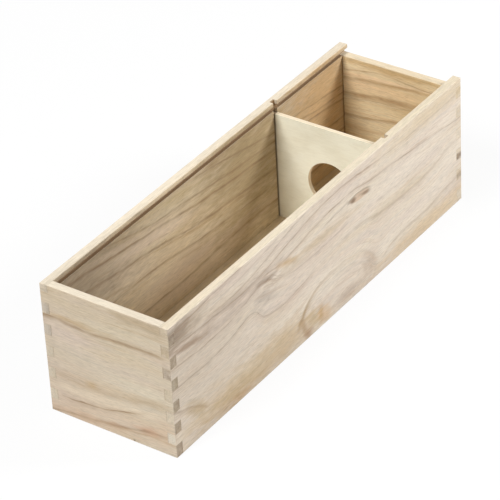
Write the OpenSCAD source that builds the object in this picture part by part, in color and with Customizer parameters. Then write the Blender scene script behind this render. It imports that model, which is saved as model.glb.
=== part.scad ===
// Wooden wine box: finger-jointed boards, grooves for a sliding lid, a base panel
// captured in grooves, and a lift-out divider with a hole for a neck.
// Frame: X across the width, Y from the front panel to the rear panel, Z up.
// Origin: middle of the rectangle on which the box stands.

/* [Box] */
// Outside width, over both side boards
box_w = 100; // [85:1:140]
// Outside length, over the front and rear boards
box_l = 348; // [300:1:420]
// Height of the side boards and of the front board
box_h = 100; // [85:1:140]
// Width of the small bevel that breaks each outer edge and the rim
edge_bevel = 0.3; // [0.2:0.1:1]

/* [Boards] */
// Thickness of the two long side boards
side_t = 6.3; // [5:0.1:10]
// Thickness of the front and rear boards
end_t = 6.4; // [5:0.1:10]
// Thickness of the base panel
base_t = 3.8; // [2.5:0.1:6]
// Height of the base panel's underside above the ground
base_up = 2.6; // [2:0.1:8]
// How far the base panel's edges reach into the four boards
base_tuck = 2.5; // [1.5:0.1:4]
// Clearance round the base panel in its grooves
base_gap = 0.1; // [0.05:0.05:0.3]

/* [Finger joints] */
// Height of the bottom finger, which belongs to the front and rear boards
first_finger = 10; // [6:0.5:16]
// Height of each further finger
finger_h = 8.45; // [5:0.05:20]
// Width of the glue line between fingers
glue_gap = 0.1; // [0.04:0.02:0.3]

/* [Lid grooves] */
// Height of the lip that holds the lid down
lip_h = 3.1; // [2:0.1:5]
// Height of the groove in which the lid slides
lid_groove_h = 3.2; // [2.8:0.1:6]
// Depth of the lid groove in the side and front boards
lid_groove_d = 2.5; // [1.5:0.1:4]
// How far the rear board's top lies below the floor of the lid grooves
rear_drop = 0.1; // [0.1:0.1:2]

/* [Divider] */
// Thickness of the plywood divider
divider_t = 3; // [2:0.1:6]
// Length of the long bay, from the front board to the dadoes
long_bay_l = 247.8; // [200:0.1:265]
// Depth of the dadoes that hold the divider's edges
dado_d = 2.5; // [1.5:0.1:4]
// Width of the dadoes, in which the divider stands loosely
dado_w = 4.6; // [3.4:0.1:8]
// Clearance between the divider's two edges and the bottoms of the dadoes
divider_play = 0.3; // [0.2:0.05:0.6]
// Gap between the divider and the rear sides of the dadoes, against which it leans
divider_back = 0.1; // [0.05:0.05:0.3]
// Clearance under the divider's bottom edge
divider_seat = 0.1; // [0.05:0.05:0.3]
// How far the divider's top edge lies below the rear board's top
divider_drop = 2.8; // [0.5:0.1:10]

/* [Neck hole] */
// Diameter of the neck hole
neck_hole_d = 36; // [28:0.5:50]
// Height of the hole's centre above the base panel
neck_hole_up = 39.2; // [30:0.2:45]

/* [Hidden] */

// How far a cutter runs past the face that it opens
past = 1;

// Inner faces of the boards
inner_w = box_w - 2 * side_t;
front_in = -box_l / 2 + end_t;
rear_in = box_l / 2 - end_t;

// Levels of the lid groove, the rear board and the floor
groove_top = box_h - lip_h;
groove_floor = groove_top - lid_groove_h;
rear_top = groove_floor - rear_drop;
floor_z = base_up + base_t;

// The divider's place between the boards
dado_y = front_in + long_bay_l;
divider_y = dado_y + dado_w - divider_back - divider_t;
divider_w = inner_w + 2 * (dado_d - divider_play);
divider_foot = floor_z + divider_seat;
divider_h = rear_top - divider_drop - divider_foot;

// Bands of the finger joints, counted from the ground: even ones are fingers of
// the front and rear boards, odd ones are fingers of the side boards
last_band = round((box_h - first_finger) / finger_h);
function band_low(i) = i == 0 ? 0 : first_finger + (i - 1) * finger_h;
function band_high(i) = i == last_band ? box_h : band_low(i + 1);

// A rectangle, centred, with its four corners bevelled
module bevelled_rectangle(a, b) {
    x = a / 2;
    y = b / 2;
    e = edge_bevel;
    polygon([[x - e, -y], [x, -y + e], [x, y - e], [x - e, y],
             [-x + e, y], [-x, y - e], [-x, -y + e], [-x + e, -y]]);
}

// A block of the given height on the box's footprint, with all its edges bevelled
module bevelled_block(h) {
    intersection() {
        translate([0, box_l / 2, h / 2]) rotate([90, 0, 0])
            linear_extrude(box_l) bevelled_rectangle(box_w, h);
        translate([-box_w / 2, 0, h / 2]) rotate([90, 0, 90])
            linear_extrude(box_w) bevelled_rectangle(box_l, h);
        linear_extrude(h) bevelled_rectangle(box_w, box_l);
    }
}

// Cuts in a side board that take the fingers of the front and rear boards
module end_finger_sockets() {
    for (i = [0 : 2 : last_band]) {
        low = i == 0 ? -past : band_low(i) - glue_gap / 2;
        high = i == last_band ? box_h + past : band_high(i) + glue_gap / 2;
        finger_socket(low, high, -box_l / 2 - past, front_in + glue_gap);
        if (band_low(i) < rear_top)
            finger_socket(low, min(high, groove_floor), rear_in - glue_gap, box_l / 2 + past);
    }
}

// One such cut, between two heights and two stations along the box
module finger_socket(low, high, from_y, to_y) {
    translate([inner_w / 2 - past, from_y, low])
        cube([side_t + 2 * past, to_y - from_y, high - low]);
}

// Cuts in a front or rear board, at both its ends, that take the side boards' fingers
module side_finger_sockets() {
    depth = side_t + glue_gap + past;
    for (i = [1 : 2 : last_band], x = [-box_w / 2 - past, box_w / 2 + past - depth]) {
        low = band_low(i) - glue_gap / 2;
        high = i == last_band ? box_h + past : band_high(i) + glue_gap / 2;
        translate([x, -box_l / 2 - past, low])
            cube([depth, box_l + 2 * past, high - low]);
    }
}

// Space in which the lid slides: a groove in each side board and in the front
// board, open to the rear above the lower rear board
module lid_channel() {
    width = inner_w + 2 * lid_groove_d;
    start = front_in - lid_groove_d;
    translate([-width / 2, start, groove_floor])
        cube([width, box_l / 2 + past - start, lid_groove_h]);
}

// The base panel, or with a margin the grooves that hold it
module base_block(margin) {
    w = inner_w + 2 * base_tuck;
    l = rear_in - front_in + 2 * base_tuck;
    translate([-w / 2 - margin, -l / 2 - margin, base_up - margin])
        cube([w + 2 * margin, l + 2 * margin, base_t + 2 * margin]);
}

// Dadoes over the full height of the side boards, from which the divider lifts out
module divider_dadoes() {
    width = inner_w + 2 * dado_d;
    translate([-width / 2, dado_y, -past]) cube([width, dado_w, box_h + 2 * past]);
}

// Flared mouth that bevels the rim's inner edge, mitred at the front corners
module rim_bevel() {
    x = inner_w / 2;
    y = box_l / 2 + past;
    e = edge_bevel;
    intersection() {
        translate([0, y, box_h - e]) rotate([90, 0, 0])
            linear_extrude(2 * y)
                polygon([[-x, 0], [x, 0], [x + 2 * e, 2 * e], [-x - 2 * e, 2 * e]]);
        translate([-box_w / 2, 0, box_h - e]) rotate([90, 0, 90])
            linear_extrude(box_w)
                polygon([[front_in, 0], [y, 0], [y, 2 * e], [front_in - 2 * e, 2 * e]]);
    }
}

// Bevel along the inner top edge of the rear board
module rear_rim_bevel() {
    e = edge_bevel;
    translate([-inner_w / 2, rear_in, rear_top]) rotate([90, 0, 90])
        linear_extrude(inner_w) polygon([[-e, -2 * e], [2 * e, e], [-e, e]]);
}

// The side board on the +X side
module side_board() {
    intersection() {
        bevelled_block(box_h);
        difference() {
            translate([inner_w / 2, -box_l / 2, 0]) cube([side_t, box_l, box_h]);
            end_finger_sockets();
            lid_channel();
            base_block(base_gap);
            divider_dadoes();
            rim_bevel();
        }
    }
}

module right_side_panel() {
    color("#d8c9b8") side_board();
}

module left_side_panel() {
    color("#cdb493") mirror([1, 0, 0]) side_board();
}

module front_panel() {
    color("#cfc0a8") intersection() {
        bevelled_block(box_h);
        difference() {
            translate([-box_w / 2, -box_l / 2, 0]) cube([box_w, end_t, box_h]);
            side_finger_sockets();
            lid_channel();
            base_block(base_gap);
            rim_bevel();
        }
    }
}

module rear_panel() {
    color("#c9ae85") intersection() {
        bevelled_block(rear_top);
        difference() {
            translate([-box_w / 2, rear_in, 0]) cube([box_w, end_t, rear_top]);
            side_finger_sockets();
            base_block(base_gap);
            rear_rim_bevel();
        }
    }
}

module base_panel() {
    color("#c8b48f") base_block(0);
}

module divider() {
    color("#e4dcc3") translate([0, divider_y, divider_foot]) difference() {
        translate([-divider_w / 2, 0, 0]) cube([divider_w, divider_t, divider_h]);
        translate([0, -past, floor_z + neck_hole_up - divider_foot]) rotate([-90, 0, 0])
            cylinder(h = divider_t + 2 * past, d = neck_hole_d, $fn = 96);
    }
}

left_side_panel();
right_side_panel();
front_panel();
rear_panel();
base_panel();
divider();
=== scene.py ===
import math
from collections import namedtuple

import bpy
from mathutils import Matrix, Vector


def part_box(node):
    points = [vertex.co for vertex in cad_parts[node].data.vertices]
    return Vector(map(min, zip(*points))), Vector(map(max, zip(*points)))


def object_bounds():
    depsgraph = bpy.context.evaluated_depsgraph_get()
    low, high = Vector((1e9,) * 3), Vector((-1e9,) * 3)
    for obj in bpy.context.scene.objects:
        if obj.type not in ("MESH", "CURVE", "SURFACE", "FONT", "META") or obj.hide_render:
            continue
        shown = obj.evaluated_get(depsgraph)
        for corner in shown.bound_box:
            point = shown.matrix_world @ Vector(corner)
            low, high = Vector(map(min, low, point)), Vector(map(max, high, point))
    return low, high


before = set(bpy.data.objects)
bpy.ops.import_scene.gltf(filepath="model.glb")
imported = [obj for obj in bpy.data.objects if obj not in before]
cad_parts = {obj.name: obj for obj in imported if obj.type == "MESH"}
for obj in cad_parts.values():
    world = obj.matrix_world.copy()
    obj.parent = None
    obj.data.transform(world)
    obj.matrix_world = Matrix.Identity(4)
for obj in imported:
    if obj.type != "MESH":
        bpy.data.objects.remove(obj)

# Some light and shade is painted in too: in the grooves, dadoes and rear inner corner, along the edges, on
# the left board's inner face and at the divider's ends.
# The looks of a wooden wine box: bare pale boards with their growth lines, knot and stains,
# greyer end grain on the fingers, a plywood divider, and a plain white studio round them.
# Places on a board are millimetres along its grain, down from the rim (on the base panel,
# across it) and into its thickness.

cad_low, cad_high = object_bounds()

MM = 1000.0
LENGTH = (cad_high.y - cad_low.y) * MM
WIDTH = (cad_high.x - cad_low.x) * MM
HEIGHT = (cad_high.z - cad_low.z) * MM

# The photograph's viewpoint
AIM = Vector((-0.0050, -0.0090, 0.0437))
DISTANCE = 1.9332
AZIMUTH = 36.3037
ELEVATION = 34.0869
ROLL = -3.2806
LENS_MM = 207.339
SENSOR_MM = 36.0

WHITE = (1.0, 1.0, 1.0, 1.0)

# Width of the soft border of a painted area, in millimetres
SOFT = 0.1

# A Line's shade is how dark it is and a Stain's strength how much of it shows. A Guide's level
# is the height at which the grain along its points would lie in a straight board.
Grain = namedtuple("Grain", "along down depth length")
Line = namedtuple("Line", "points width shade")
Oval = namedtuple("Oval", "along down long_half short_half slope")
Stain = namedtuple("Stain", "oval colour strength")
Guide = namedtuple("Guide", "level points")
Look = namedtuple("Look", "seed pale tan tan_share blush blush_share line rim end end_share "
                          "end_stains lines guides stains")


def srgb(red, green, blue):
    """A colour of a material, from its sRGB bytes."""
    def linear(byte):
        part = byte / 255
        return part / 12.92 if part <= 0.04045 else ((part + 0.055) / 1.055) ** 2.4
    return (linear(red), linear(green), linear(blue), 1.0)


# Nodes as sums: a Value is a node's output, and each operator on it adds a node

class Value:
    def __init__(self, net, socket):
        self.net = net
        self.socket = socket

    def math(self, operation, *others):
        inputs = dict(enumerate((self, *others)))
        return Value(self.net, self.net.node("ShaderNodeMath", inputs, operation=operation).outputs[0])

    def __add__(self, other):
        return self.math("ADD", other)

    __radd__ = __add__

    def __sub__(self, other):
        return self.math("SUBTRACT", other)

    def __rsub__(self, other):
        return self * -1 + other

    def __mul__(self, other):
        return self.math("MULTIPLY", other)

    __rmul__ = __mul__

    def __truediv__(self, other):
        return self.math("DIVIDE", other)

    def __abs__(self):
        return self.math("ABSOLUTE")

    def larger(self, other):
        return self.math("MAXIMUM", other)

    def held(self, low, high):
        return self.math("MAXIMUM", low).math("MINIMUM", high)

    def ramp(self, start, end, low=0.0, high=1.0):
        """Goes smoothly from low to high as the value goes from start to end."""
        inputs = {0: self, 1: start, 2: end, 3: low, 4: high}
        node = self.net.node("ShaderNodeMapRange", inputs, interpolation_type="SMOOTHSTEP")
        return Value(self.net, node.outputs[0])

    def within(self, half):
        """1 where the value is nearer to 0 than half, and 0 elsewhere."""
        return abs(self).ramp(half, half - SOFT)


class Net:
    """The node tree of a new material, or of the world."""

    def __init__(self, owner):
        owner.use_nodes = True
        self.owner = owner
        self.tree = owner.node_tree
        self.shader = self.tree.nodes.get("Principled BSDF")

    def feed(self, socket, value):
        if isinstance(value, Value):
            self.tree.links.new(value.socket, socket)
        else:
            socket.default_value = value

    def node(self, kind, inputs, **settings):
        made = self.tree.nodes.new(kind)
        for name, setting in settings.items():
            setattr(made, name, setting)
        for name, value in inputs.items():
            self.feed(made.inputs[name], value)
        return made

    def split(self, output):
        parts = self.node("ShaderNodeSeparateXYZ", {0: Value(self, output)}).outputs
        return [Value(self, part) for part in parts]

    def position(self):
        """The point's X, Y and Z in the row frame, in millimetres."""
        place = self.node("ShaderNodeTexCoord", {}).outputs["Object"]
        return [part * MM for part in self.split(place)]

    def facing(self):
        """How far the surface faces along X, Y and Z, whichever way round."""
        normal = self.node("ShaderNodeTexCoord", {}).outputs["Normal"]
        return [abs(part) for part in self.split(normal)]

    def noise(self, x, y, z, detail=2.0, roughness=0.5):
        """Smooth noise about 0, mostly within a quarter, with features about one unit wide."""
        place = self.node("ShaderNodeCombineXYZ", {0: x, 1: y, 2: z}).outputs[0]
        inputs = {"Vector": Value(self, place), "Scale": 1.0, "Detail": detail, "Roughness": roughness}
        return Value(self, self.node("ShaderNodeTexNoise", inputs).outputs[0]) - 0.5

    def blend(self, first, second, factor, mode="MIX"):
        node = self.node("ShaderNodeMix", {}, data_type="RGBA", blend_type=mode)
        for index, value in zip((0, 6, 7), (factor, first, second)):
            self.feed(node.inputs[index], value)
        return Value(self, node.outputs[2])

    def curve(self, grain, points):
        """The height down the board of a smooth curve through points given as (along, down)."""
        node = self.node("ShaderNodeFloatCurve", {"Value": grain.along / grain.length})
        knots = node.mapping.curves[0].points
        places = [(along / grain.length, down / HEIGHT) for along, down in points]
        knots[0].location = places[0]
        knots[1].location = places[-1]
        for place in places[1:-1]:
            knots.new(*place)
        node.mapping.update()
        return Value(self, node.outputs[0]) * HEIGHT


def new_material(name):
    return Net(bpy.data.materials.new(name))


# What any board has

# The growth lines' upper and lower sides, the length over which they end, and their halo
LINE_LEAD = 0.5
LINE_TAIL = 1.6
LINE_FADE = 14.0
HALO_WIDTH = 5.0
HALO_SHARE = 0.28

# How far the lines waver, and how much they, the areas of colour and the stains' outlines vary
WAVE_SLOW = 2.4
WAVE_QUICK = 1.2
LINE_VARIES = 2.2
TAN_VARIES = 1.4
TAN_BANDS = 0.7
BLUSH_VARIES = 1.6
STAIN_VARIES = 1.3
STAIN_START = 1.3
STAIN_FULL = 0.1

# Widths and lengths of the finest grain
FIBRE = 0.35
FIBRE_LENGTH = 16.0
FLECK = 0.8
FLECK_LENGTH = 7.0
PORE = 0.6
PORE_LENGTH = 5.0

# The lid groove and the dadoes, and the fingers with their glue
GROOVE_DOWN = 4.7
GROOVE_HALF = 1.75
DADO_ALONG = 256.5
DADO_HALF = 2.2
RECESS_DEPTH = (3.0, 6.25)
# Brown for the grooves and dadoes: partly the rough cut wood, partly painted shade
SAWN_AND_SHADE_BROWN = srgb(144, 112, 76)
CLOSED_END = 3.5
FIRST_FINGER = 10.0
FINGER = 8.45
END_WIDTH = 6.4
GLUE_WIDTH = 0.5
END_FACING = (0.7, 0.95)
END_VARIES = 1.4

# How much each layer covers the colour under it
BAND_SHARE = 0.4
PORE_SHARE = 0.3
GLUE_SHARE = 0.36
RIM_SHARE = 0.75
GROOVE_SHADE_SHARE = 0.9
DADO_SHADE_SHARE = 0.8
WEAR_AND_HIGHLIGHT_SHARE = 0.25

# How much the grain lightens and darkens the colour, and the fibres the growth lines
BAND_TONE = 0.24
FIBRE_TONE = 0.42
FLECK_TONE = 0.44
LINE_FIBRES = 1.6

# The bare surface, with lengths in metres
EDGE_RADIUS = 0.0007
BUMP = 0.0001
BUMP_STRENGTH = 0.5
SPECULAR = 0.28
ROUGHNESS = 0.66
ROUGHNESS_VARIES = 0.2

# How far each layer stands out of the surface or sinks into it, in tenths of a millimetre
FIBRE_RELIEF = 0.8
FLECK_RELIEF = 0.4
LINE_RELIEF = 0.5
PORE_RELIEF = 0.7
BAND_RELIEF = 0.4


def waved(net, grain, seed):
    """The same place, shifted by a millimetre or so, as no board's lines run even."""
    slow = net.noise(grain.along / 40 + seed, grain.down / 25, grain.depth / 20, detail=1)
    quick = net.noise(grain.along / 9 + seed, grain.down / 6, grain.depth / 6)
    return grain._replace(down=grain.down + slow * WAVE_SLOW + quick * WAVE_QUICK)


def followed(net, grain, guides):
    """The height at which a place would lie if the guides, and the grain between, ran level."""
    above, level = 0.0, 0.0
    down = grain.down * 0
    for guide in (*guides, None):
        below, lower = (net.curve(grain, guide.points), guide.level) if guide else (HEIGHT, HEIGHT)
        share = (grain.down - above) / (below - above)
        down = down + share.held(0, 1) * (lower - level)
        above, level = below, lower
    return grain._replace(down=down)


def stretch(points, start=0.0, end=math.inf):
    """The points of a curve that lie between two places along the board."""
    return [point for point in points if start <= point[0] <= end]


def growth_line(net, grain, line):
    """How dark one growth line is: a dark core, a fading lower side and a faint halo."""
    off = grain.down - net.curve(grain, line.points)
    core = off.ramp(-LINE_LEAD - line.width / 2, 0) * off.ramp(line.width * LINE_TAIL, 0)
    halo = off.ramp(-HALO_WIDTH / 2, 0) * off.ramp(HALO_WIDTH, 0)
    dark = core.larger(halo * HALO_SHARE)
    start = line.points[0][0]
    end = line.points[-1][0]
    if start > 0:
        dark = dark * grain.along.ramp(start, start + LINE_FADE)
    if end < grain.length:
        dark = dark * grain.along.ramp(end, end - LINE_FADE)
    return dark * line.shade


def growth_lines(net, grain, lines, seed):
    """The darkest of the drawn growth lines at each place, stronger here and weaker there."""
    dark = growth_line(net, grain, lines[0])
    for line in lines[1:]:
        dark = dark.larger(growth_line(net, grain, line))
    uneven = net.noise(grain.along / 16 - seed, grain.down / 5, grain.depth / 5)
    return dark * (uneven * LINE_VARIES + 1)


def reach(grain, oval):
    """Distance from the middle of an oval, in shares of its size: 1 on its outline."""
    along = grain.along - oval.along
    across = (grain.down - oval.down - along * oval.slope) / oval.short_half
    along = along / oval.long_half
    return (along * along + across * across).math("SQRT")


def stained(net, grain, colour, stains, seed):
    """Soft patches of another colour, with uneven outlines."""
    uneven = net.noise(grain.along / 13 + seed, grain.down / 3.5, grain.depth / 3.5, detail=3)
    uneven = uneven * STAIN_VARIES
    for stain in stains:
        share = (reach(grain, stain.oval) + uneven).ramp(STAIN_START, STAIN_FULL, 0.0, stain.strength)
        colour = net.blend(colour, stain.colour, share)
    return colour


def bands(net, grain, seed):
    """Soft bands along the grain, 7 to 0.8 mm wide, about 0."""
    broad = net.noise(grain.along / 200 + seed, grain.down / 7, grain.depth / 7, detail=1)
    middle = net.noise(grain.along / 90 + seed, grain.down / 2.2, grain.depth / 2.2)
    narrow = net.noise(grain.along / 30 - seed, grain.down / 0.8, grain.depth / 0.8, detail=3)
    return broad * 0.9 + middle * 1.0 + narrow * 1.2


def fibres(net, grain, seed):
    """Fine fibres along the grain, which are dots on an end."""
    across = grain.down / FIBRE
    inward = grain.depth / FIBRE
    return net.noise(grain.along / FIBRE_LENGTH + seed, across, inward, detail=3, roughness=0.6)


def flecks(net, grain, seed):
    """Short flecks, a few millimetres long."""
    return net.noise(grain.along / FLECK_LENGTH - seed, grain.down / FLECK, grain.depth / FLECK)


def pores(net, grain, seed):
    """Short dark vessels, a few millimetres long and a hair wide."""
    across = grain.down / PORE
    inward = grain.depth / PORE
    return net.noise(grain.along / PORE_LENGTH + seed, across, inward, detail=1).ramp(0.08, 0.28)


def sawn_and_shaded(net, grain, colour):
    """The grooves and dadoes: browner where the saw left them rough, and darker with painted shade, as they
    are deep and narrow.
    """
    shallow, deep = RECESS_DEPTH
    inside = grain.depth.ramp(shallow, shallow + SOFT) * grain.depth.ramp(deep, deep - SOFT)
    groove = (grain.down - GROOVE_DOWN).within(GROOVE_HALF)
    groove = groove * grain.along.ramp(CLOSED_END - SOFT, CLOSED_END)
    if grain.length < LENGTH:
        groove = groove * (grain.length - grain.along).ramp(CLOSED_END, CLOSED_END + SOFT)
    dado = (grain.along - DADO_ALONG).within(DADO_HALF)
    return net.blend(colour, SAWN_AND_SHADE_BROWN, inside * (groove * GROOVE_SHADE_SHARE).larger(dado * DADO_SHADE_SHARE))


def glue_lines(net, place, ends):
    """1 along the thin lines of glue round the fingers at both ends of a board."""
    middle = place.length / 2
    inner = middle - END_WIDTH
    at_end = abs(place.along - middle).ramp(inner - 0.3, inner)
    step = ((HEIGHT - FIRST_FINGER - place.down) / FINGER).math("FRACT")
    rows = at_end * abs(step - 0.5).ramp(0.5 - GLUE_WIDTH / FINGER, 0.5)
    return rows.larger(ends * place.depth.ramp(END_WIDTH - 0.9, END_WIDTH - 0.2))


def worn_and_highlit_edges(net):
    """1 on the broken edges of a board, where the surface turns within a millimetre."""
    turned = net.node("ShaderNodeBevel", {"Radius": EDGE_RADIUS}, samples=6).outputs[0]
    straight = net.node("ShaderNodeNewGeometry", {}).outputs["True Normal"]
    inputs = {0: Value(net, turned), 1: Value(net, straight)}
    same = net.node("ShaderNodeVectorMath", inputs, operation="DOT_PRODUCT").outputs["Value"]
    return Value(net, same).ramp(0.995, 0.8)


def bare_wood(net, colour, height, roughness):
    """Planed wood with no finish: matt, with its height in tenths of a millimetre."""
    relief = {"Height": height, "Strength": BUMP_STRENGTH, "Distance": BUMP}
    bump = net.node("ShaderNodeBump", relief)
    net.feed(net.shader.inputs["Base Color"], colour)
    net.feed(net.shader.inputs["Roughness"], roughness)
    net.feed(net.shader.inputs["Normal"], Value(net, bump.outputs[0]))
    net.shader.inputs["Specular IOR Level"].default_value = SPECULAR
    return net.owner


def body_colour(net, grain, look, band):
    """Pale wood with tan, blushing and stained areas."""
    seed = look.seed
    warm = net.noise(grain.along / 70 + seed, grain.down / 22, grain.depth / 22, detail=1)
    cool = net.noise(grain.along / 90 - seed, grain.down / 15, grain.depth / 15, detail=1)
    tanned = (warm * TAN_VARIES + band * TAN_BANDS + look.tan_share).ramp(0, 1)
    blushed = (cool * BLUSH_VARIES + look.blush_share).ramp(0, 1)
    colour = net.blend(net.blend(look.pale, look.tan, tanned), look.blush, blushed)
    return stained(net, grain, colour, look.stains, seed)


def jointed(net, place, colour, ends, look):
    """The mottled end grain of the fingers, and the glue lines round them."""
    end_colour = stained(net, place, look.end, look.end_stains, look.seed)
    mottle = net.noise(place.along / 3, place.down / 3 + look.seed, place.depth / 3)
    colour = net.blend(colour, end_colour, ends * (mottle * END_VARIES + look.end_share))
    return net.blend(colour, look.line, glue_lines(net, place, ends) * GLUE_SHARE)


def board(net, place, ends, look, marks=None):
    """A solid board. ends is 1 where its grain ends, and marks paints what this board alone
    has."""
    seed = look.seed
    grain = waved(net, place, seed)
    band = bands(net, followed(net, grain, look.guides), seed)
    fibre = fibres(net, grain, seed)
    fleck = flecks(net, grain, seed)
    pore = pores(net, grain, seed)
    line = growth_lines(net, grain, look.lines, seed)

    colour = body_colour(net, grain, look, band)
    if marks:
        colour = marks(net, grain, colour)
    colour = net.blend(colour, look.line, band.ramp(0.0, 0.6, 0.0, BAND_SHARE))
    colour = net.blend(colour, look.line, line * (fibre * LINE_FIBRES + 1))
    colour = net.blend(colour, look.line, pore * PORE_SHARE)
    colour = jointed(net, place, colour, ends, look)
    colour = net.blend(colour, look.rim, net.facing()[2].ramp(0.6, 0.95, 0.0, RIM_SHARE))
    # Painted shade, with the rough cut wood's brown, in the grooves and dadoes
    colour = sawn_and_shaded(net, place, colour)
    # Lighter edges: partly wear, partly a painted highlight along them
    colour = net.blend(colour, look.rim, worn_and_highlit_edges(net) * WEAR_AND_HIGHLIGHT_SHARE)
    tone = band * BAND_TONE + fibre * FIBRE_TONE + fleck * FLECK_TONE + 1
    colour = net.blend(colour, tone, 1.0, "MULTIPLY")
    height = fibre * FIBRE_RELIEF + fleck * FLECK_RELIEF - line * LINE_RELIEF
    height = height - pore * PORE_RELIEF + band * BAND_RELIEF
    return bare_wood(net, colour, height, ROUGHNESS - fibre * ROUGHNESS_VARIES)


# The right side board, on its outer face

FIRST_RING = [(0, 17), (30, 18.5), (60, 20), (86, 20.6), (107, 17.5), (125, 14), (150, 9.4),
              (180, 5.6), (195, 5.2), (210, 6.3), (245, 9), (260, 9.5), (300, 10.5), (348, 10.5)]
OVER_KNOT = [(0, 24), (30, 27), (60, 26), (86, 23.5), (105, 21.8), (120, 23), (135, 22.2),
             (150, 20), (166, 17.5), (180, 15.6), (200, 15.5), (213, 15.8), (225, 18),
             (258, 21), (280, 23.5), (300, 26), (320, 28), (348, 31)]
UNDER_KNOT = [(0, 32), (20, 33.5), (45, 34), (60, 33.5), (75, 31), (85, 29), (93, 27), (100, 26.5),
              (108, 27.5), (115, 30.5), (125, 34.5), (135, 37), (150, 38), (175, 38), (207, 37.5),
              (228, 39), (245, 41), (300, 41.5), (348, 38)]
MIDDLE_RING = [(0, 48), (20, 48.5), (40, 49), (60, 47), (75, 44), (84, 42), (90, 42.5), (97, 48),
               (103, 53), (112, 55), (125, 56), (135, 55), (150, 53), (165, 50), (185, 47.5),
               (222, 47), (235, 50), (250, 52), (270, 53.5), (290, 53.5), (310, 52), (330, 47.5),
               (348, 46)]
OVER_ARCH = [(0, 66), (12, 69), (25, 74), (40, 80), (70, 82), (110, 78), (140, 72), (165, 65),
             (190, 63.6), (205, 67), (225, 76), (240, 88), (255, 84), (300, 82.5), (348, 77)]
RIGHT_GUIDES = (Guide(12, FIRST_RING), Guide(22, OVER_KNOT), Guide(34, UNDER_KNOT),
                Guide(48, MIDDLE_RING), Guide(76, OVER_ARCH))
RIGHT_LINES = (
    Line([(0, 6), (25, 4.2), (35, 3.3), (50, 1.8), (90, 0.5)], 0.7, 0.45),
    Line([(25, 7.5), (45, 8.5), (70, 8.5), (95, 6), (112, 3.5), (128, 1)], 0.6, 0.22),
    Line([(31, 14.8), (56, 16.2), (80, 15.6), (100, 12), (119, 7.5), (138, 3), (160, 0.6)], 0.7, 0.36),
    Line(stretch(FIRST_RING, end=245), 0.8, 0.42),
    Line(stretch(FIRST_RING, start=210), 0.9, 0.2),
    Line([(95, 22.5)] + stretch(OVER_KNOT, start=105), 0.8, 0.44),
    Line([(165, 24.4), (180, 22.5), (200, 21.5), (209, 21.3)], 0.9, 0.4),
    Line(stretch(UNDER_KNOT, end=135), 0.7, 0.42),
    Line(stretch(UNDER_KNOT, 115, 207), 0.9, 0.26),
    Line([(95, 23), (103, 23), (112, 26), (120, 31), (133, 36)], 0.5, 0.3),
    Line(stretch(MIDDLE_RING, end=165), 0.6, 0.42),
    Line([(228, 39), (245, 41), (265, 41.5), (290, 42), (304, 41.5)], 0.7, 0.22),
    Line(stretch(MIDDLE_RING, start=185), 2.0, 0.21),
    Line([(240, 91), (247, 87), (255, 84), (265, 82.5), (300, 82.5), (320, 80), (348, 77)], 2.0, 0.25),
    Line([(0, 64), (8, 67.5), (15, 69.5), (22, 73), (30, 78), (40, 86)], 1.8, 0.4),
)
RIGHT_STAINS = (
    Stain(Oval(4, 10.5, 36, 11, -0.08), srgb(154, 134, 114), 0.95),
    Stain(Oval(6, 9.5, 16, 9, 0.0), srgb(144, 126, 108), 0.85),
    Stain(Oval(30, 45, 90, 50, 0.0), srgb(206, 190, 170), 0.5),
    Stain(Oval(70, 20, 60, 4.5, 0.02), srgb(190, 172, 156), 0.6),
    Stain(Oval(60, 28.5, 55, 3.0, -0.02), srgb(192, 176, 160), 0.5),
    Stain(Oval(130, 33, 40, 3.0, 0.05), srgb(206, 188, 168), 0.5),
    Stain(Oval(23, 24.0, 27, 3.4, 0.12), srgb(168, 144, 122), 0.85),
    Stain(Oval(104, 25.8, 14, 2.4, 0.08), srgb(150, 130, 112), 0.7),
    Stain(Oval(105, 38, 16, 8, 0.1), srgb(188, 172, 158), 0.6),
    Stain(Oval(130, 26.4, 15, 3.2, 0.26), srgb(208, 178, 138), 0.85),
    Stain(Oval(172, 30.5, 44, 4.2, 0.03), srgb(206, 184, 152), 0.65),
    Stain(Oval(24, 77, 12, 9, 0.5), srgb(194, 172, 138), 0.75),
    Stain(Oval(85, 88, 80, 18, 0.0), srgb(210, 188, 154), 0.85),
    Stain(Oval(126, 86, 34, 13, 0.0), srgb(212, 188, 154), 0.6),
    Stain(Oval(62, 90, 34, 8, 0.0), srgb(202, 176, 136), 0.5),
    Stain(Oval(70, 96, 24, 4, 0.0), srgb(202, 166, 126), 0.5),
    Stain(Oval(170, 92, 12, 8, 0.3), srgb(214, 178, 134), 0.6),
    Stain(Oval(199, 92, 18, 5, 0.0), srgb(194, 172, 154), 0.6),
    Stain(Oval(228, 86, 14, 12, 0.0), srgb(202, 182, 164), 0.6),
    Stain(Oval(306, 94, 80, 10, -0.02), srgb(224, 200, 164), 0.75),
    Stain(Oval(310, 6, 80, 10, 0.0), srgb(223, 203, 171), 0.7),
    Stain(Oval(260, 51, 70, 5, 0.02), srgb(220, 202, 174), 0.5),
)
ARCH = Oval(187, 88, 47, 24.5, 0.0)
HOOK = (Stain(Oval(158, 88, 9, 9, 0.3), srgb(206, 182, 142), 0.7),
        Stain(Oval(166, 89, 4, 9, 0.0), srgb(202, 168, 124), 0.7),
        Stain(Oval(146, 88, 7, 6.5, 1.4), srgb(188, 158, 124), 0.65),
        Stain(Oval(151, 96, 7, 4, 0.0), srgb(176, 138, 106), 0.65))
ARCH_BROWN = srgb(178, 150, 114)
ARCH_UNEVEN = 0.16
ARCH_RINGS = 42.0
RINGS_SHARE = 0.14
KNOT = Oval(217, 24, 13, 3.2, 0.07)
KNOT_PINK = srgb(210, 184, 158)
KNOT_BROWN = srgb(138, 114, 92)
KNOT_ENDS = (Stain(Oval(209, 23.9, 3.8, 2.4, 0.1), KNOT_BROWN, 0.9),
             Stain(Oval(224, 25.0, 7.0, 1.8, 0.18), KNOT_BROWN, 0.75))


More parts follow.
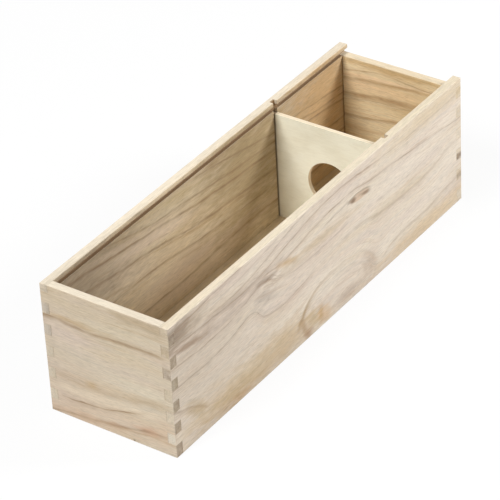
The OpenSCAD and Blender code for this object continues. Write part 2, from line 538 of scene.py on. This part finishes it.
def arch(net, grain, colour):
    """Growth rings cut as an arch at the bottom edge, darkest at the front, with stains at its
    front foot."""
    uneven = net.noise(grain.along / 20, grain.down / 12, 0.0)
    off = reach(grain, ARCH) + uneven * ARCH_UNEVEN - 1
    ring = off.ramp(0.07, 0.0) * off.ramp(-0.12, 0.0)
    rings = ((off * ARCH_RINGS).math("SINE") * 0.5 + 0.5) * off.ramp(-0.6, -0.1) * off.ramp(0.05, 0.0)
    front = grain.along.ramp(205, 145, 0.25, 0.8)
    foot = grain.down.ramp(66, 78, 0.6, 1.0) * grain.down.ramp(94, 78)
    colour = net.blend(colour, ARCH_BROWN, (ring * front * foot).larger(rings * RINGS_SHARE))
    return stained(net, grain, colour, HOOK, 1.3)


def knot(net, grain, colour):
    """A small tight knot: a pink eye between two brown corners, under a brown lid."""
    eye = reach(grain, KNOT)
    colour = net.blend(colour, KNOT_PINK, eye.ramp(1.1, 0.7, 0.0, 0.85))
    lid = (eye - 1).ramp(-0.35, 0.0) * (eye - 1).ramp(0.25, 0.0) * grain.down.ramp(25, 22.5)
    colour = net.blend(colour, KNOT_BROWN, lid * 0.55)
    return stained(net, grain, colour, KNOT_ENDS, 2.7)


def right_marks(net, grain, colour):
    return knot(net, grain, arch(net, grain, colour))


def right_side_wood():
    net = new_material("right_side_wood")
    x, y, z = net.position()
    grain = Grain(y + LENGTH / 2, HEIGHT - z, WIDTH / 2 - x, LENGTH)
    look = Look(
        seed=3.1, pale=srgb(237, 225, 208), tan=srgb(224, 208, 184), tan_share=0.35,
        blush=srgb(222, 205, 190), blush_share=0.35, line=srgb(150, 120, 92),
        rim=srgb(225, 212, 186), end=srgb(200, 187, 164), end_share=0.75,
        end_stains=(
            Stain(Oval(0, 1, 12, 8, 0), srgb(194, 178, 152), 1.0),
            Stain(Oval(0, 19, 12, 6, 0), srgb(186, 168, 140), 0.9),
            Stain(Oval(0, 35.5, 12, 7, 0), srgb(156, 140, 120), 1.0),
            Stain(Oval(0, 52, 12, 6, 0), srgb(192, 178, 152), 0.8),
            Stain(Oval(0, 86, 12, 6, 0), srgb(208, 200, 184), 0.8)),
        lines=RIGHT_LINES, guides=RIGHT_GUIDES, stains=RIGHT_STAINS)
    return board(net, grain, net.facing()[1].ramp(*END_FACING), look, right_marks)


# The left side board: its lines are drawn on its inner face

LEFT_FIRST = [(0, 4), (60, 7), (75, 9), (90, 12.5), (105, 16), (120, 18.5), (140, 20.5), (160, 22),
              (180, 24.5), (200, 26.5), (225, 28), (254, 30), (285, 30), (300, 32.5), (348, 36)]
LEFT_SECOND = [(0, 10), (20, 12.5), (40, 14.5), (60, 17), (80, 18.8), (100, 21.5), (120, 24),
               (140, 27), (160, 29.5), (180, 31.5), (220, 34.5), (254, 37), (290, 36), (348, 43)]
LEFT_THIRD = [(0, 24), (40, 28), (60, 30.5), (80, 33.5), (100, 35.5), (120, 38.5), (140, 42),
              (160, 45), (200, 49), (254, 52), (348, 56)]
LEFT_GUIDES = (Guide(12, LEFT_FIRST), Guide(24, LEFT_SECOND), Guide(40, LEFT_THIRD))
LEFT_LINES = (
    Line(LEFT_FIRST, 1.2, 0.42),
    Line(LEFT_SECOND, 1.3, 0.5),
    Line(LEFT_THIRD, 1.5, 0.42),
    Line([(150, 6.5), (180, 10.5), (200, 14), (220, 18), (240, 21), (254, 23), (285, 24),
          (300, 25.5), (348, 31)], 1.0, 0.42),
    Line([(0, 58), (90, 52), (180, 60), (300, 66), (348, 65)], 1.2, 0.4),
    Line([(0, 74), (120, 80), (230, 77), (348, 84)], 1.6, 0.4),
)
LEFT_STAINS_LIGHT_AND_SHADE = (
    # Painted light: the first stain lightens the lip's inner face all along the board
    Stain(Oval(174, 0.5, 500, 3.2, 0.0), srgb(244, 226, 196), 0.85),
    Stain(Oval(10, 25, 100, 60, 0.0), srgb(166, 150, 128), 0.9),
    Stain(Oval(80, 16, 50, 3, 0.12), srgb(214, 194, 170), 0.6),
    Stain(Oval(140, 11, 40, 6, 0.1), srgb(208, 190, 146), 0.6),
    Stain(Oval(112, 27.5, 64, 6.5, 0.14), srgb(226, 208, 186), 0.75),
    # Darker olive wood round the divider, partly painted shade that the divider casts on the wall
    Stain(Oval(222, 30, 72, 70, 0.0), srgb(170, 150, 114), 0.9),
    Stain(Oval(312, 30, 50, 80, 0.0), srgb(208, 176, 132), 0.95),
)
CORNER = 341.6
# Painted shade along the joint in the inner rear corner, fading out towards the rim
CORNER_SHADE_BROWN = srgb(124, 96, 68)
CORNER_SHADE_SHARE = 0.75
OUTER_PALE = srgb(236, 222, 202)
OUTER_SHARE = 0.55


def left_marks(net, grain, colour):
    """Painted shade over a dark joint in the inner corner at the rear, and a paler outer face."""
    corner = abs(grain.along - CORNER).ramp(2.6, 0.2) * grain.depth.ramp(5.4, 6.0)
    colour = net.blend(colour, CORNER_SHADE_BROWN, corner * grain.down.ramp(2, 10) * CORNER_SHADE_SHARE)
    return net.blend(colour, OUTER_PALE, grain.depth.ramp(5.5, 1.0) * OUTER_SHARE)


def left_side_wood():
    net = new_material("left_side_wood")
    x, y, z = net.position()
    grain = Grain(y + LENGTH / 2, HEIGHT - z, x + WIDTH / 2, LENGTH)
    look = Look(
        seed=17.6, pale=srgb(224, 209, 180), tan=srgb(206, 186, 150), tan_share=0.45,
        blush=srgb(208, 190, 168), blush_share=0.3, line=srgb(128, 100, 72),
        rim=srgb(235, 223, 202), end=srgb(204, 192, 172), end_share=0.6,
        end_stains=(
            Stain(Oval(0, 18, 12, 5, 0), srgb(186, 176, 164), 0.9),
            Stain(Oval(0, 35.5, 12, 6, 0), srgb(188, 178, 166), 0.9)),
        lines=LEFT_LINES, guides=LEFT_GUIDES, stains=LEFT_STAINS_LIGHT_AND_SHADE)
    return board(net, grain, net.facing()[1].ramp(*END_FACING), look, left_marks)


# The front board, on its outer face

FRONT_FIRST = [(0, 24), (12, 23.4), (25, 24.8), (35, 25.6), (50, 24.6), (65, 23.7), (100, 24)]
FRONT_SECOND = [(0, 66), (35, 68), (60, 67), (75, 64), (100, 61)]
FRONT_THIRD = [(5, 86), (20, 85), (35, 83.5), (45, 82), (55, 80), (65, 77.5), (78, 74.5)]
FRONT_FOURTH = [(0, 99), (15, 97), (25, 96), (40, 94.5), (60, 91.5), (75, 88), (87, 86.5), (100, 86)]
FRONT_GUIDES = (Guide(24, FRONT_FIRST), Guide(66, FRONT_SECOND),
                Guide(82, [(0, 86.5)] + stretch(FRONT_THIRD, 20, 78) + [(100, 70)]), Guide(93, FRONT_FOURTH))
FRONT_LINES = (
    Line(FRONT_FIRST, 2.2, 0.55),
    Line(FRONT_SECOND, 3.0, 0.16),
    Line(FRONT_THIRD, 0.9, 0.7),
    Line(FRONT_FOURTH, 1.4, 0.4),
    Line([(18, 27.5), (40, 29), (70, 28)], 0.6, 0.2),
    Line([(56, 94), (70, 91.8), (84, 90)], 0.6, 0.35),
)
FRONT_STAINS = (
    Stain(Oval(50, 9, 90, 13, 0.0), srgb(194, 178, 150), 0.5),
    Stain(Oval(24, 21.5, 30, 3.4, 0.06), srgb(190, 164, 126), 0.6),
    Stain(Oval(60, 22.5, 60, 3.4, 0.0), srgb(186, 168, 138), 0.4),
    Stain(Oval(80, 3.5, 34, 5, 0.0), srgb(180, 160, 130), 0.75),
    Stain(Oval(20, 35, 30, 10, 0.0), srgb(208, 191, 176), 0.7),
    Stain(Oval(50, 86, 90, 16, -0.08), srgb(214, 192, 169), 0.5),
    Stain(Oval(45, 66, 66, 6, -0.04), srgb(200, 178, 146), 0.45),
    Stain(Oval(36, 67, 6, 3.4, 0.0), srgb(190, 160, 114), 0.5),
    Stain(Oval(40, 76, 60, 4, -0.06), srgb(228, 212, 188), 0.5),
    Stain(Oval(84, 63, 24, 5.0, -0.1), srgb(184, 162, 132), 0.36),
    Stain(Oval(30, 96, 44, 5, -0.03), srgb(204, 172, 142), 0.5),
    Stain(Oval(52, 92.5, 16, 2.0, -0.1), srgb(174, 140, 112), 0.5),
    Stain(Oval(80, 87.5, 14, 4.0, -0.08), srgb(192, 152, 122), 0.65),
    Stain(Oval(92, 84, 8, 12, 0.0), srgb(206, 180, 154), 0.5),
    Stain(Oval(66.5, 98.9, 1.0, 0.8, 0.0), srgb(96, 80, 64), 0.8),
)


def front_wood():
    net = new_material("front_wood")
    x, y, z = net.position()
    grain = Grain(x + WIDTH / 2, HEIGHT - z, y + LENGTH / 2, WIDTH)
    look = Look(
        seed=8.4, pale=srgb(211, 199, 177), tan=srgb(203, 186, 156), tan_share=0.4,
        blush=srgb(204, 187, 169), blush_share=0.45, line=srgb(140, 114, 84),
        rim=srgb(233, 222, 202), end=srgb(162, 144, 122), end_share=0.75,
        end_stains=(
            Stain(Oval(100, 10, 14, 7, 0), srgb(138, 120, 104), 1.0),
            Stain(Oval(100, 43, 12, 6, 0), srgb(170, 156, 132), 0.6),
            Stain(Oval(100, 94, 12, 6, 0), srgb(166, 146, 126), 0.6)),
        lines=FRONT_LINES, guides=FRONT_GUIDES, stains=FRONT_STAINS)
    return board(net, grain, net.facing()[0].ramp(*END_FACING), look)


# The rear board: its lines are drawn on its inner face

REAR_FIRST = [(0, 17), (15, 15.5), (25, 14), (33, 13), (45, 12.5), (60, 14), (80, 15.5), (100, 16)]
REAR_SECOND = [(0, 24), (20, 22), (35, 20.5), (45, 20), (55, 18.5), (75, 17.5), (100, 17)]
REAR_THIRD = [(0, 37), (20, 35), (35, 33.5), (50, 32), (60, 31), (100, 29.5)]
REAR_GUIDES = (Guide(14, REAR_FIRST), Guide(21, REAR_SECOND), Guide(34, REAR_THIRD))
REAR_LINES = (
    Line(REAR_FIRST, 0.8, 0.4),
    Line(REAR_SECOND, 2.2, 0.4),
    Line(REAR_THIRD, 3.6, 0.54),
    Line([(0, 42), (15, 40), (30, 37.5), (45, 36.5), (100, 34)], 0.7, 0.3),
    Line([(0, 54), (30, 52), (45, 50), (100, 46)], 2.0, 0.4),
    Line([(0, 70), (40, 74), (100, 68)], 1.6, 0.4),
)
REAR_STAINS = (
    Stain(Oval(45, 8.5, 60, 3, 0.0), srgb(206, 174, 124), 0.8),
    Stain(Oval(36, 18, 40, 2.4, -0.05), srgb(240, 212, 176), 0.7),
    Stain(Oval(44, 26.5, 44, 4, -0.06), srgb(240, 210, 168), 0.6),
)


def rear_wood():
    net = new_material("rear_wood")
    x, y, z = net.position()
    grain = Grain(x + WIDTH / 2, HEIGHT - z, y - LENGTH / 2, WIDTH)
    look = Look(
        seed=29.3, pale=srgb(239, 221, 184), tan=srgb(216, 188, 142), tan_share=0.5,
        blush=srgb(222, 198, 164), blush_share=0.15, line=srgb(152, 112, 68),
        rim=srgb(235, 220, 194), end=srgb(226, 212, 192), end_share=0.9,
        end_stains=(
            Stain(Oval(100, 9.5, 5, 5, 0), srgb(208, 188, 156), 0.9),
            Stain(Oval(100, 27, 5, 5, 0), srgb(206, 192, 172), 0.7),
            Stain(Oval(100, 62, 5, 3, 0), srgb(138, 118, 100), 0.9),
            Stain(Oval(100, 78, 5, 4, 0), srgb(166, 148, 128), 0.8)),
        lines=REAR_LINES, guides=REAR_GUIDES, stains=REAR_STAINS)
    return board(net, grain, net.facing()[0].ramp(*END_FACING), look)


# The base panel

BASE_MIDDLE = [(0, 48), (100, 44), (220, 52), (348, 47)]
BASE_GUIDES = (Guide(48, BASE_MIDDLE),)
BASE_LINES = (
    Line([(0, 20), (120, 26), (240, 22), (348, 30)], 1.2, 0.35),
    Line(BASE_MIDDLE, 1.4, 0.4),
    Line([(0, 76), (140, 70), (260, 78), (348, 74)], 1.2, 0.35),
)


def base_wood():
    net = new_material("base_wood")
    x, y, z = net.position()
    grain = Grain(y + LENGTH / 2, x + WIDTH / 2, z, LENGTH)
    look = Look(
        seed=41.9, pale=srgb(234, 216, 184), tan=srgb(220, 196, 156), tan_share=0.4,
        blush=srgb(224, 204, 182), blush_share=0.25, line=srgb(146, 118, 88),
        rim=srgb(214, 194, 160), end=srgb(190, 176, 150), end_share=0.5, end_stains=(),
        lines=BASE_LINES, guides=BASE_GUIDES, stains=())
    return board(net, grain, net.facing()[1].ramp(*END_FACING), look)


# The plywood divider

PLY = 1.0
PLY_SEED = 53.0
PLY_ROUGHNESS = 0.62
PLY_FACE = srgb(247, 245, 226)
PLY_SHADE = srgb(234, 230, 208)
PLY_EDGE = srgb(246, 232, 204)
PLY_CORE = srgb(184, 148, 104)
# Painted shade: a dark brown on the divider near its ends, where the dadoes shade it
PLY_SLOT_SHADE = srgb(112, 88, 60)
SLOT_SHADE_START = 43.0
SLOT_SHADE_FULL = 43.9
SLOT_SHADE_SHARE = 0.75


def divider_plywood():
    """Three plies: pale, faintly mottled faces, a browner core that the edges show, and
    painted shade in brown along the borders where the dadoes hold it."""
    net = new_material("divider_plywood")
    x, y, z = net.position()
    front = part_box("divider")[0].y * MM
    grain = Grain(x, z, y - front, WIDTH)
    fibre = fibres(net, grain, PLY_SEED)
    fleck = flecks(net, grain, PLY_SEED)
    pore = pores(net, grain, PLY_SEED)
    cloud = net.noise(x / 26, y / 26, z / 14, detail=3)
    mottle = net.noise(x / 7, y / 5, z / 2.5, detail=3)
    colour = net.blend(PLY_FACE, PLY_SHADE, (cloud * 1.4 + mottle * 0.7 + 0.4).ramp(0, 1))
    edge = net.facing()[1].ramp(0.8, 0.4)
    core = abs(grain.depth - 1.5 * PLY).ramp(0.6 * PLY, 0.4 * PLY)
    colour = net.blend(colour, PLY_EDGE, edge)
    colour = net.blend(colour, PLY_CORE, edge * core * 0.2)
    colour = net.blend(colour, PLY_CORE, pore * 0.1)
    # Painted shade at the divider's ends, in the dadoes
    colour = net.blend(colour, PLY_SLOT_SHADE, abs(x).ramp(SLOT_SHADE_START, SLOT_SHADE_FULL, 0.0, SLOT_SHADE_SHARE))
    colour = net.blend(colour, fibre * 0.08 + fleck * 0.1 + 1, 1.0, "MULTIPLY")
    return bare_wood(net, colour, fibre * 0.5 - pore * 0.5, PLY_ROUGHNESS - fibre * ROUGHNESS_VARIES)


WOODS = {
    "right_side_panel": right_side_wood,
    "left_side_panel": left_side_wood,
    "front_panel": front_wood,
    "rear_panel": rear_wood,
    "base_panel": base_wood,
    "divider": divider_plywood,
}


def dress():
    """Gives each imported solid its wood."""
    for name, wood in WOODS.items():
        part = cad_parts[name]
        material = wood()
        for slot in part.material_slots:
            slot.material = material


# The studio

FLOOR_SIZE = 8.0
FLOOR_DROP = 0.0002
FLOOR_SEEN = 1.0
FLOOR_BOUNCE = 0.62
FLOOR_GLOW = 0.9
WORLD_LIGHT = 0.12
KEY_PLACE = (-0.5, -1.86, 2.3)
KEY_SIZE = 0.9
KEY_WATTS = 64.0
SIDE_PLACE = (1.1, 0.8, 0.95)
SIDE_SIZE = 0.5
SIDE_WATTS = 19.5
FRONT_PLACE = (0.0, -2.72, 1.27)
FRONT_SIZE = 1.2
FRONT_WATTS = 15.0


def to_eye(net):
    """1 for rays that the camera sees directly or in a reflection."""
    rays = net.node("ShaderNodeLightPath", {}).outputs
    seen = [Value(net, rays[name]) for name in ("Is Camera Ray", "Is Glossy Ray", "Is Transmission Ray")]
    return seen[0].larger(seen[1]).larger(seen[2])


def mixed_shader(net, share, first, second, end):
    """Ends a tree in two shaders mixed."""
    mix = net.node("ShaderNodeMixShader", {0: share})
    net.tree.links.new(first.outputs[0], mix.inputs[1])
    net.tree.links.new(second.outputs[0], mix.inputs[2])
    net.tree.links.new(mix.outputs[0], net.tree.nodes[end].inputs["Surface"])


def white_floor():
    """A white floor that keeps the object's shadow, though softer than it falls."""
    bpy.ops.mesh.primitive_plane_add(size=FLOOR_SIZE, location=(0, 0, -FLOOR_DROP))
    floor = bpy.context.object
    floor.name = "floor"
    net = new_material("floor_white")
    seen = to_eye(net)
    net.feed(net.shader.inputs["Base Color"], seen.ramp(0, 1, FLOOR_BOUNCE, FLOOR_SEEN))
    net.shader.inputs["Roughness"].default_value = 1.0
    net.shader.inputs["Specular IOR Level"].default_value = 0.0
    glow = net.node("ShaderNodeEmission", {"Strength": 1.0})
    mixed_shader(net, seen * FLOOR_GLOW, net.shader, glow, "Material Output")
    floor.data.materials.append(net.owner)


def white_world():
    """Even light from all round, in front of a white background."""
    world = bpy.data.worlds.new("studio")
    bpy.context.scene.world = world
    net = Net(world)
    light = net.tree.nodes["Background"]
    light.inputs["Color"].default_value = WHITE
    light.inputs["Strength"].default_value = WORLD_LIGHT
    seen = net.node("ShaderNodeBackground", {"Color": WHITE, "Strength": 1.0})
    mixed_shader(net, to_eye(net), light, seen, "World Output")


def soft_lamp(name, place, size, watts):
    """A square lamp that points at the object."""
    data = bpy.data.lights.new(name, "AREA")
    data.size = size
    data.energy = watts
    lamp = bpy.data.objects.new(name, data)
    bpy.context.collection.objects.link(lamp)
    lamp.location = place
    lamp.rotation_euler = (AIM - Vector(place)).to_track_quat("-Z", "Y").to_euler()


def camera():
    data = bpy.data.cameras.new("camera")
    data.lens = LENS_MM
    data.sensor_width = SENSOR_MM
    made = bpy.data.objects.new("camera", data)
    bpy.context.collection.objects.link(made)
    turn = (Matrix.Rotation(math.radians(AZIMUTH), 4, "Z")
            @ Matrix.Rotation(math.radians(90 - ELEVATION), 4, "X")
            @ Matrix.Rotation(math.radians(ROLL), 4, "Z"))
    made.matrix_world = Matrix.Translation(AIM) @ turn @ Matrix.Translation((0, 0, DISTANCE))
    bpy.context.scene.camera = made


dress()
white_floor()
white_world()
soft_lamp("key", KEY_PLACE, KEY_SIZE, KEY_WATTS)
soft_lamp("side", SIDE_PLACE, SIDE_SIZE, SIDE_WATTS)
soft_lamp("front", FRONT_PLACE, FRONT_SIZE, FRONT_WATTS)
camera()
bpy.context.scene.view_settings.view_transform = "Standard"
